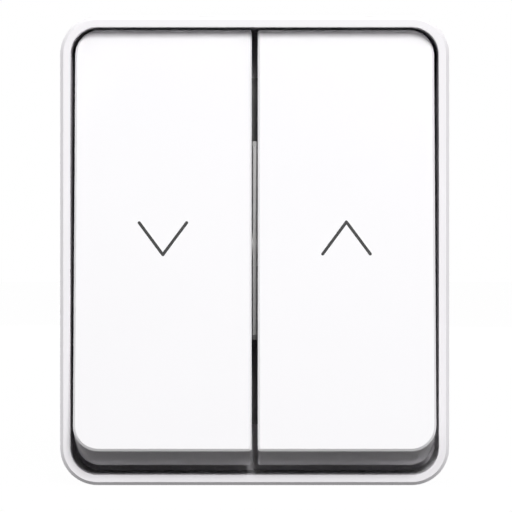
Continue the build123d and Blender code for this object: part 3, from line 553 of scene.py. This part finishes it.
class SWITCH_OT_springs(bpy.types.Operator):
    """Makes the springs as pieces that ride on their bodies, in place of their plain solids"""

    bl_idname = "switch.springs"
    bl_label = "Springs"

    def execute(self, context):
        finish = context.scene.switch_finish
        # Stainless wire, cold drawn: bright, with fine draw lines
        wire = stamped_metal("drawn_spring_wire", finish.wire, roughness=0.28, line_mm=0.25)
        for side in ("left", "right"):
            name = f"{side}_spring"
            reach = [(v.co - PIVOT).dot(FACE_OUT) for v in NODES[name].data.vertices]
            length = max(reach) - min(reach)
            low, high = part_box(name)
            shape = coil_spring(context.scene.switch_springs, length, (high.x - low.x) / 2)
            foot = PIVOT + FACE_RIGHT * ((low.x + high.x) / 2 - PIVOT.x) + FACE_OUT * min(reach)
            bmesh.ops.transform(shape, matrix=Matrix.Translation(foot) @ FACING, verts=shape.verts)
            held = foot + length * FACE_OUT
            self.add_spring(context, name, shape, wire, f"{side}_rocker", FACE_OUT, held, length)
        # Stainless strip, rolled and bent: satin along its length
        strip = stamped_metal("rolled_spring_strip", finish.strip, roughness=0.32, line_mm=0.4)
        for terminal in ("line", "up", "down"):
            name = f"{terminal}_clamp_spring"
            low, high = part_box(name)
            shape = bmesh.new()
            shape.from_mesh(NODES[name].data)
            bmesh.ops.remove_doubles(shape, verts=shape.verts, dist=WELD)
            depth = Vector((0, 1, 0))
            self.add_spring(context, name, shape, strip, "housing", depth, low, high.y - low.y)
        return {"FINISHED"}

    def add_spring(self, context, name, shape, material, body, axis, held, length):
        """A spring piece that rides on a body, in place of its plain solid."""
        piece = add_piece(context, f"{name}_steel", shape, material, body)
        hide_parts(name)
        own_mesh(piece)


class SWITCH_OT_rubber(bpy.types.Operator):
    """Finishes the two seals inside"""

    bl_idname = "switch.rubber"
    bl_label = "Seals"

    def execute(self, context):
        # Extruded EPDM cord: mid grey and dull, dusted by its talc
        epdm = soft_rubber("extruded_epdm", context.scene.switch_finish.seal)
        dress(epdm, ["box_seal", "well_seal"])
        return {"FINISHED"}


def membrane(sizes, radius, depth):
    """A cable entry membrane turned about Z, its flush outer face at z = 0 and its inside below."""
    skin = -sizes.sunk
    ridge = sizes.ridge
    neck = radius - sizes.seat
    profile = [(0, skin + sizes.nipple), (sizes.nipple, skin + sizes.nipple), (sizes.foot, skin)]
    for place in (sizes.eye / 2, sizes.eye):
        profile += [(place - ridge, skin), (place, skin + ridge), (place + ridge, skin)]
    profile += [(sizes.eye + sizes.sunk, skin), (sizes.ring, skin), (sizes.ring + sizes.sunk / 2, 0)]
    middle = (sizes.ring + radius) / 2
    profile += [(middle - ridge, 0), (middle, -ridge), (middle + ridge, 0), (radius - sizes.edge, 0)]
    profile += [(radius, -sizes.edge), (radius, -sizes.flange), (neck, -sizes.flange)]
    profile += [(neck, sizes.lip - depth), (neck + sizes.lip / 2, sizes.lip - depth)]
    profile += [(neck - sizes.lip / 4, -depth), (neck - sizes.lip, -depth)]
    profile += [(neck - sizes.lip, skin - sizes.sunk), (0, skin - sizes.sunk)]
    shape = bmesh.new()
    points = [shape.verts.new((r, 0, z)) for r, z in profile]
    line = [shape.edges.new(pair) for pair in zip(points, points[1:])]
    bmesh.ops.spin(
        shape,
        geom=points + line,
        cent=(0, 0, 0),
        axis=(0, 0, 1),
        steps=RING_STEPS,
        angle=2 * math.pi,
        use_merge=True,
    )
    bmesh.ops.remove_doubles(shape, verts=shape.verts, dist=WELD)
    bmesh.ops.recalc_face_normals(shape, faces=shape.faces)
    return shape


class SWITCH_OT_membranes(bpy.types.Operator):
    """Makes the two cable entry membranes over their plain solids"""

    bl_idname = "switch.membranes"
    bl_label = "Cable entry membranes"

    def execute(self, context):
        # Injection-moulded TPE: soft, off-white and matte, so its rings show by their shade alone
        rubber = soft_rubber("moulded_tpe", context.scene.switch_finish.membrane)
        for name, out in (("bottom_membrane", -1), ("top_membrane", 1)):
            low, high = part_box(name)
            shape = membrane(context.scene.switch_membranes, (high.x - low.x) / 2, high.z - low.z)
            bmesh.ops.scale(shape, vec=(1, 1, out), verts=shape.verts)
            place = Vector(((low.x + high.x) / 2, (low.y + high.y) / 2, high.z if out > 0 else low.z))
            bmesh.ops.translate(shape, vec=place, verts=shape.verts)
            bmesh.ops.recalc_face_normals(shape, faces=shape.faces)
            piece = add_piece(context, f"{name}_rubber", shape, rubber, "housing")
            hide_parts(name)
        return {"FINISHED"}


def direction_mark(marks):
    """A bent line with round ends and a round point, pointing down, as a thin closed plate on XY."""
    shape = bmesh.new()
    arm = Vector((marks.width - marks.stroke, 2 * (marks.height - marks.stroke), 0)) / 2
    low = Vector((0, -arm.y / 2, 0))
    # Half a step of turn keeps the circle's points off the line that splits it
    turn = math.atan2(arm.y, arm.x) + math.pi / CAP_STEPS
    circle = bmesh.ops.create_circle(shape, cap_ends=True, segments=CAP_STEPS, radius=marks.stroke / 2)
    line = circle["verts"]
    bmesh.ops.rotate(shape, verts=line, matrix=Matrix.Rotation(turn, 3, "Z"))
    bmesh.ops.translate(shape, verts=[v for v in line if v.co.dot(arm) > 0], vec=arm)
    bmesh.ops.translate(shape, verts=line, vec=low)
    whole = shape.verts[:] + shape.edges[:] + shape.faces[:]
    bmesh.ops.bisect_plane(shape, geom=whole, plane_co=low, plane_no=(-1, 0, 0), clear_outer=True)
    half = shape.verts[:] + shape.edges[:] + shape.faces[:]
    bmesh.ops.mirror(shape, geom=half, axis="X", merge_dist=WELD)
    top = bmesh.ops.extrude_face_region(shape, geom=shape.faces[:])["geom"]
    raised = [item for item in top if isinstance(item, bmesh.types.BMVert)]
    bmesh.ops.translate(shape, verts=raised, vec=(0, 0, marks.ink + marks.sunk))
    bmesh.ops.translate(shape, verts=shape.verts, vec=(0, 0, -marks.sunk))
    bmesh.ops.recalc_face_normals(shape, faces=shape.faces)
    return shape


class SWITCH_OT_marks(bpy.types.Operator):
    """Prints the down mark on the left rocker and the up mark on the right one"""

    bl_idname = "switch.marks"
    bl_label = "Direction marks"

    def execute(self, context):
        marks = context.scene.switch_marks
        # Pad-printed two-part ink: dark grey and matte, a little uneven in tone
        ink = moulded_plastic(
            "pad_printed_ink",
            context.scene.switch_finish.mark,
            roughness=0.5,
            grain_mm=0.2,
            depth_mm=0.002,
            shade=0.93,
            shine=0.2,
        )
        for side, way, rise, turn in (("left", -1, 0, 0), ("right", 1, marks.rise, math.pi)):
            shape = direction_mark(marks)
            across = FACE_RIGHT * (way * marks.out - PIVOT.x)
            middle = PIVOT + across + FACE_UP * rise + FACE_OUT * FACE_DEPTH
            place = Matrix.Translation(middle) @ FACING @ Matrix.Rotation(turn, 4, "Z")
            bmesh.ops.transform(shape, matrix=place, verts=shape.verts)
            add_piece(context, f"{side}_mark", shape, ink, f"{side}_rocker")
        return {"FINISHED"}


def seen_directly(tree):
    """1 where the camera, a reflection or a clear piece shows the surface, 0 where it only gives light."""
    path = add_node(tree, "ShaderNodeLightPath").outputs
    mirrored = add_node(
        tree,
        "ShaderNodeMath",
        settings={"operation": "MAXIMUM"},
        links={0: path["Is Glossy Ray"], 1: path["Is Transmission Ray"]},
    )
    either = add_node(
        tree,
        "ShaderNodeMath",
        settings={"operation": "MAXIMUM"},
        links={0: path["Is Camera Ray"], 1: mirrored.outputs[0]},
    )
    return either.outputs[0]


def add_share(tree, given, shown):
    """A strength for the light that a surface gives, and another where it is seen."""
    span = add_node(
        tree,
        "ShaderNodeMapRange",
        inputs={"To Min": given, "To Max": shown},
        links={"Value": seen_directly(tree)},
    )
    return span.outputs["Result"]


class SWITCH_OT_stage(bpy.types.Operator):
    """Makes the floor, the light and the camera"""

    bl_idname = "switch.stage"
    bl_label = "Stage"

    def execute(self, context):
        studio = context.scene.switch_studio
        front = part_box("cover_frame")[0].y
        self.add_floor(context, studio, CAD_BOX[0].z)
        self.add_world(context, studio.ambient)
        for name, lamp in LAMPS.items():
            self.add_lamp(context, name, Vector((0, front, 0)), power=getattr(studio, name), **lamp)
        self.add_camera(context, studio, front)
        context.scene.view_settings.view_transform = "Standard"
        return {"FINISHED"}

    def add_floor(self, context, studio, height):
        """A broad pale floor, white to the camera where it is lit and dimmer in the light it throws back."""
        shape = bmesh.new()
        bmesh.ops.create_grid(shape, x_segments=1, y_segments=1, size=FLOOR_REACH)
        bmesh.ops.translate(shape, verts=shape.verts, vec=(0, 0, height))
        mesh = bpy.data.meshes.new("floor")
        shape.to_mesh(mesh)
        shape.free()
        # Matt emulsion paint: no gloss at all, and an even tone that keeps the switch's soft shadow
        material = bpy.data.materials.new("painted_floor")
        material.use_nodes = True
        tree = material.node_tree
        tree.nodes.clear()
        glow = add_node(
            tree,
            "ShaderNodeEmission",
            inputs={"Color": (1, 1, 1, 1)},
            links={"Strength": add_share(tree, 0, studio.floor_glow)},
        )
        paint = add_node(tree, "ShaderNodeBsdfDiffuse", inputs={"Color": linear(studio.floor)})
        both = add_node(tree, "ShaderNodeAddShader", links={0: glow.outputs[0], 1: paint.outputs["BSDF"]})
        add_node(tree, "ShaderNodeOutputMaterial", links={"Surface": both.outputs[0]})
        mesh.materials.append(material)
        floor = bpy.data.objects.new("floor", mesh)
        context.scene.collection.objects.link(floor)

    def add_world(self, context, ambient):
        """White where the camera sees it, a soft even grey as light."""
        world = bpy.data.worlds.new("studio")
        world.use_nodes = True
        tree = world.node_tree
        tree.nodes.clear()
        sky = add_node(
            tree,
            "ShaderNodeBackground",
            inputs={"Color": (1, 1, 1, 1)},
            links={"Strength": add_share(tree, ambient, 1.0)},
        )
        add_node(tree, "ShaderNodeOutputWorld", links={"Surface": sky.outputs["Background"]})
        context.scene.world = world

    def add_lamp(self, context, name, aim, power, right, rise, width, height):
        """A soft box that faces a point from some degrees to its right and above it."""
        lamp = bpy.data.objects.new(name, bpy.data.lights.new(name, "AREA"))
        lamp.data.shape = "RECTANGLE"
        lamp.data.size = width
        lamp.data.size_y = height
        lamp.data.energy = power
        across = math.radians(right)
        up = math.radians(rise)
        away = Vector((math.sin(across) * math.cos(up), -math.cos(across) * math.cos(up), math.sin(up)))
        lamp.location = aim + LAMP_DISTANCE * away
        lamp.rotation_euler = (-away).to_track_quat("-Z", "Y").to_euler()
        context.scene.collection.objects.link(lamp)

    def add_camera(self, context, studio, front):
        """A camera square to the front, as far away as the photograph's perspective says."""
        camera = bpy.data.objects.new("camera", bpy.data.cameras.new("camera"))
        camera.data.sensor_width = SENSOR_MM
        camera.data.lens = SENSOR_MM * studio.distance / studio.field
        camera.data.clip_start = 0.01
        camera.data.clip_end = 50
        camera.location = (studio.aside, front - studio.distance, studio.above)
        camera.rotation_euler = (math.pi / 2, 0, 0)
        context.scene.collection.objects.link(camera)
        context.scene.camera = camera


class SWITCH_PT_panel(bpy.types.Panel):
    """Lists the steps in their order"""

    bl_idname = "SWITCH_PT_panel"
    bl_label = "Roller shutter switch"
    bl_space_type = "VIEW_3D"
    bl_region_type = "UI"
    bl_category = "Switch"

    def draw(self, context):
        for step in STEPS:
            self.layout.operator(step.bl_idname)


STEPS = (
    SWITCH_OT_casing,
    SWITCH_OT_rockers,
    SWITCH_OT_mechanism,
    SWITCH_OT_metal,
    SWITCH_OT_springs,
    SWITCH_OT_rubber,
    SWITCH_OT_membranes,
    SWITCH_OT_marks,
    SWITCH_OT_stage,
)
GROUPS = {
    "switch_finish": SwitchFinish,
    "switch_marks": SwitchMarks,
    "switch_membranes": SwitchMembranes,
    "switch_springs": SwitchSprings,
    "switch_studio": SwitchStudio,
}


def register():
    for cls in (*GROUPS.values(), *STEPS, SWITCH_PT_panel):
        bpy.utils.register_class(cls)
    for name, group in GROUPS.items():
        setattr(bpy.types.Scene, name, bpy.props.PointerProperty(type=group))


def unregister():
    for name in GROUPS:
        delattr(bpy.types.Scene, name)
    for cls in reversed((*GROUPS.values(), *STEPS, SWITCH_PT_panel)):
        bpy.utils.unregister_class(cls)


def main():
    """Makes the whole scene step by step."""
    register()
    for step in STEPS:
        group, name = step.bl_idname.split(".")
        getattr(getattr(bpy.ops, group), name)()


if __name__ == "__main__":
    main()
